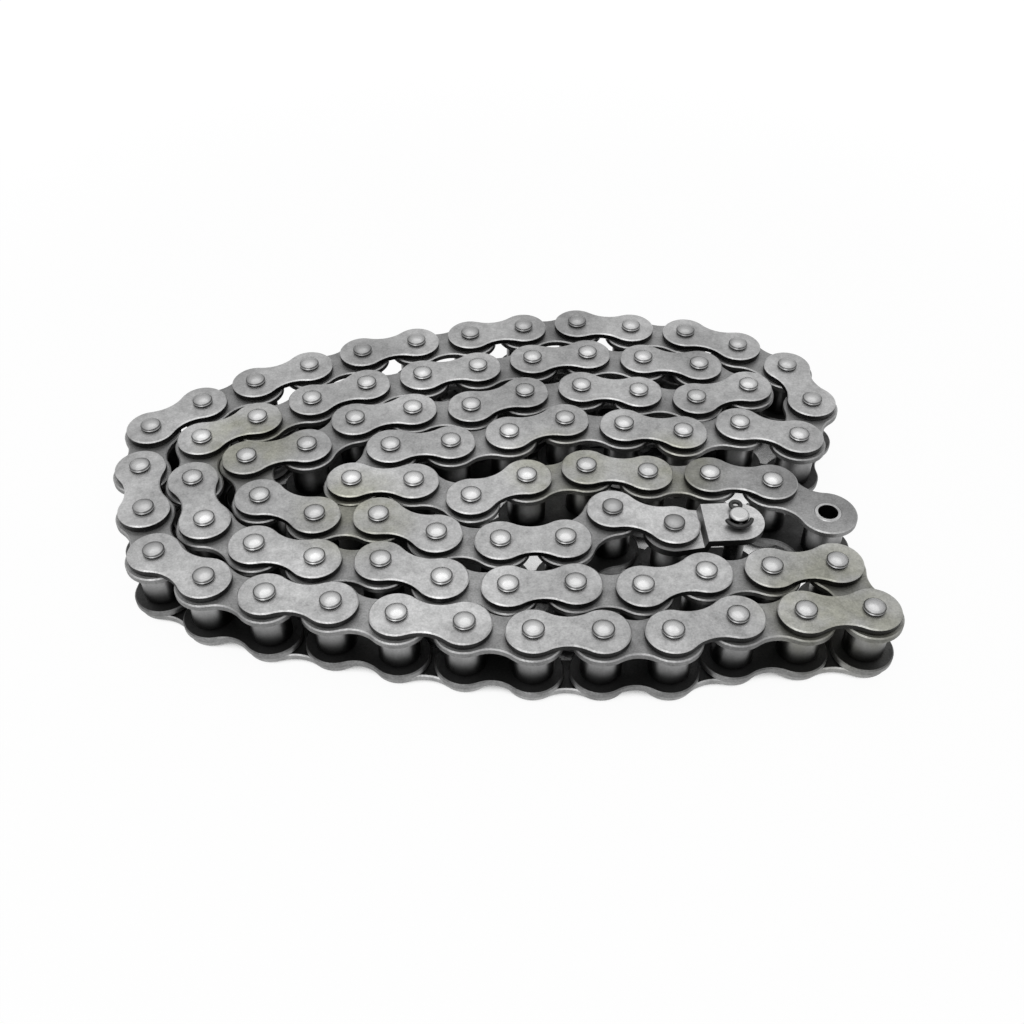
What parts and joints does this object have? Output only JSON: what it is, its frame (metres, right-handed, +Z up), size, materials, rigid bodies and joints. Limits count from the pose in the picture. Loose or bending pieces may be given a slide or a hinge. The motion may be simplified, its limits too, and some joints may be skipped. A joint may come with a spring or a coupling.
{
  "type": "roller chain",
  "caption": "Length of half-inch-pitch roller chain with a cranked offset link and split-pinned end, laid on its side in a loose coil.",
  "frame": {"origin": "on the ground, under the middle of the coil's bounding box", "axes": "+X along the long side of the coil, towards the two free ends; +Y to the rear of the coil; +Z up, along the chain's pins"},
  "size_m": [0.1558, 0.106, 0.0175],
  "materials": {
    "outer_plate": "satin, fine mottled grey steel",
    "inner_plate": "satin, fine mottled grey steel",
    "offset_plate": "satin grey steel",
    "pin": "bright ends, spread by riveting",
    "bush": "satin, oiled",
    "roller": "smooth satin, oiled",
    "split_pin": "drawn wire, satin"
  },
  "bodies": {
    "laid_chain": {"inner_strand_outer_plates": "outer_plate", "inner_strand_pins": "pin", "inner_strand_inner_plates": "inner_plate", "inner_strand_bushes": "bush", "inner_strand_rollers": "roller", "rear_strand_inner_plates": "inner_plate", "rear_strand_bushes": "bush", "rear_strand_rollers": "roller", "rear_strand_outer_plates": "outer_plate", "rear_strand_pins": "pin", "front_strand_inner_plates": "inner_plate", "front_strand_bushes": "bush", "front_strand_outer_plates": "outer_plate", "front_strand_pins": "pin", "second_strand_rollers": "roller", "second_strand_outer_plates": "outer_plate", "second_strand_pins": "pin", "second_strand_inner_plates": "inner_plate", "second_strand_bushes": "bush", "third_strand_inner_plates": "inner_plate", "third_strand_bushes": "bush", "third_strand_rollers": "roller", "third_strand_outer_plates": "outer_plate", "third_strand_pins": "pin"},
    "open_inner_link": {"open_inner_link_inner_plates": "inner_plate", "open_inner_link_bushes": "bush", "open_end_bush": "bush"},
    "end_outer_link": {"end_outer_link_outer_plates": "outer_plate", "end_outer_link_pins": "pin"},
    "second_inner_link": {"second_inner_link_inner_plates": "inner_plate", "second_inner_link_bushes": "bush"},
    "last_inner_link": {"last_inner_link_inner_plates": "inner_plate", "last_inner_link_bushes": "bush"},
    "last_outer_link": {"last_outer_link_outer_plates": "outer_plate", "last_outer_link_pins": "pin"},
    "offset_link": {"offset_plate_upper": "offset_plate", "offset_plate_lower": "offset_plate", "offset_link_bush": "bush", "connecting_pin": "pin", "split_pin": "split_pin"},
    "end_roller_01": {"end_roller_01": "roller"},
    "end_roller_02": {"end_roller_02": "roller"},
    "end_roller_03": {"end_roller_03": "roller"},
    "end_roller_04": {"end_roller_04": "roller"},
    "front_roller_01": {"front_roller_01": "roller"},
    "front_roller_02": {"front_roller_02": "roller"},
    "front_roller_03": {"front_roller_03": "roller"},
    "front_roller_04": {"front_roller_04": "roller"},
    "front_roller_05": {"front_roller_05": "roller"},
    "front_roller_06": {"front_roller_06": "roller"},
    "front_roller_07": {"front_roller_07": "roller"},
    "front_roller_08": {"front_roller_08": "roller"},
    "front_roller_09": {"front_roller_09": "roller"},
    "front_roller_10": {"front_roller_10": "roller"},
    "front_roller_11": {"front_roller_11": "roller"},
    "end_roller_05": {"end_roller_05": "roller"},
    "end_roller_06": {"end_roller_06": "roller"},
    "offset_link_roller": {"offset_link_roller": "roller"}
  },
  "joints": [
    {"name": "second_inner_link_hinge", "type": "hinge", "parent": "laid_chain", "child": "second_inner_link", "pos_m": [0.03312, -0.00464, 0.00808], "axis": [0, 0, 1], "range_deg": [-4, 5]},
    {"name": "end_outer_link_hinge", "type": "hinge", "parent": "second_inner_link", "child": "end_outer_link", "pos_m": [0.04581, -0.00515, 0.00808], "axis": [0, 0, -1], "range_deg": [-12, 6]},
    {"name": "open_inner_link_hinge", "type": "hinge", "parent": "end_outer_link", "child": "open_inner_link", "pos_m": [0.05832, -0.00735, 0.00808], "axis": [0, 0, 1], "range_deg": [-12, 38]},
    {"name": "last_inner_link_hinge", "type": "hinge", "parent": "laid_chain", "child": "last_inner_link", "pos_m": [0.01565, -0.02354, 0.00808], "axis": [0, 0, 1], "range_deg": [-1.5, 3]},
    {"name": "last_outer_link_hinge", "type": "hinge", "parent": "last_inner_link", "child": "last_outer_link", "pos_m": [0.02526, -0.01523, 0.00808], "axis": [0, 0, -1], "range_deg": [-5, 3]},
    {"name": "offset_link_hinge", "type": "hinge", "parent": "last_outer_link", "child": "offset_link", "pos_m": [0.03714, -0.01972, 0.00808], "axis": [0, 0, 1], "range_deg": [-5, 9]},
    {"name": "end_roller_01_spin", "type": "hinge", "parent": "open_inner_link", "child": "end_roller_01", "pos_m": [0.06865, -0.01473, 0.00808], "axis": [0, 0, 1], "continuous": true},
    {"name": "end_roller_02_spin", "type": "hinge", "parent": "open_inner_link", "child": "end_roller_02", "pos_m": [0.05832, -0.00735, 0.00808], "axis": [0, 0, 1], "continuous": true},
    {"name": "end_roller_03_spin", "type": "hinge", "parent": "second_inner_link", "child": "end_roller_03", "pos_m": [0.04581, -0.00515, 0.00808], "axis": [0, 0, 1], "continuous": true},
    {"name": "end_roller_04_spin", "type": "hinge", "parent": "second_inner_link", "child": "end_roller_04", "pos_m": [0.03312, -0.00464, 0.00808], "axis": [0, 0, 1], "continuous": true},
    {"name": "end_roller_05_spin", "type": "hinge", "parent": "last_inner_link", "child": "end_roller_05", "pos_m": [0.01565, -0.02354, 0.00808], "axis": [0, 0, 1], "continuous": true},
    {"name": "end_roller_06_spin", "type": "hinge", "parent": "last_inner_link", "child": "end_roller_06", "pos_m": [0.02526, -0.01523, 0.00808], "axis": [0, 0, 1], "continuous": true},
    {"name": "offset_link_roller_spin", "type": "hinge", "parent": "offset_link", "child": "offset_link_roller", "pos_m": [0.03714, -0.01972, 0.00808], "axis": [0, 0, 1], "continuous": true},
    {"name": "front_roller_01_spin", "type": "hinge", "parent": "laid_chain", "child": "front_roller_01", "pos_m": [-0.05297, -0.03411, 0.00808], "axis": [0, 0, 1], "continuous": true},
    {"name": "front_roller_02_spin", "type": "hinge", "parent": "laid_chain", "child": "front_roller_02", "pos_m": [-0.04092, -0.03814, 0.00808], "axis": [0, 0, 1], "continuous": true},
    {"name": "front_roller_03_spin", "type": "hinge", "parent": "laid_chain", "child": "front_roller_03", "pos_m": [-0.02839, -0.04021, 0.00808], "axis": [0, 0, 1], "continuous": true},
    {"name": "front_roller_04_spin", "type": "hinge", "parent": "laid_chain", "child": "front_roller_04", "pos_m": [-0.01604, -0.04314, 0.00808], "axis": [0, 0, 1], "continuous": true},
    {"name": "front_roller_05_spin", "type": "hinge", "parent": "laid_chain", "child": "front_roller_05", "pos_m": [-0.0035, -0.0452, 0.00808], "axis": [0, 0, 1], "continuous": true},
    {"name": "front_roller_06_spin", "type": "hinge", "parent": "laid_chain", "child": "front_roller_06", "pos_m": [0.00906, -0.04708, 0.00808], "axis": [0, 0, 1], "continuous": true},
    {"name": "front_roller_07_spin", "type": "hinge", "parent": "laid_chain", "child": "front_roller_07", "pos_m": [0.02176, -0.04713, 0.00808], "axis": [0, 0, 1], "continuous": true},
    {"name": "front_roller_08_spin", "type": "hinge", "parent": "laid_chain", "child": "front_roller_08", "pos_m": [0.03446, -0.04708, 0.00808], "axis": [0, 0, 1], "continuous": true},
    {"name": "front_roller_09_spin", "type": "hinge", "parent": "laid_chain", "child": "front_roller_09", "pos_m": [0.04666, -0.04355, 0.00808], "axis": [0, 0, 1], "continuous": true},
    {"name": "front_roller_10_spin", "type": "hinge", "parent": "laid_chain", "child": "front_roller_10", "pos_m": [0.0593, -0.04232, 0.00808], "axis": [0, 0, 1], "continuous": true},
    {"name": "front_roller_11_spin", "type": "hinge", "parent": "laid_chain", "child": "front_roller_11", "pos_m": [0.07198, -0.04174, 0.00808], "axis": [0, 0, 1], "continuous": true}
  ]
}
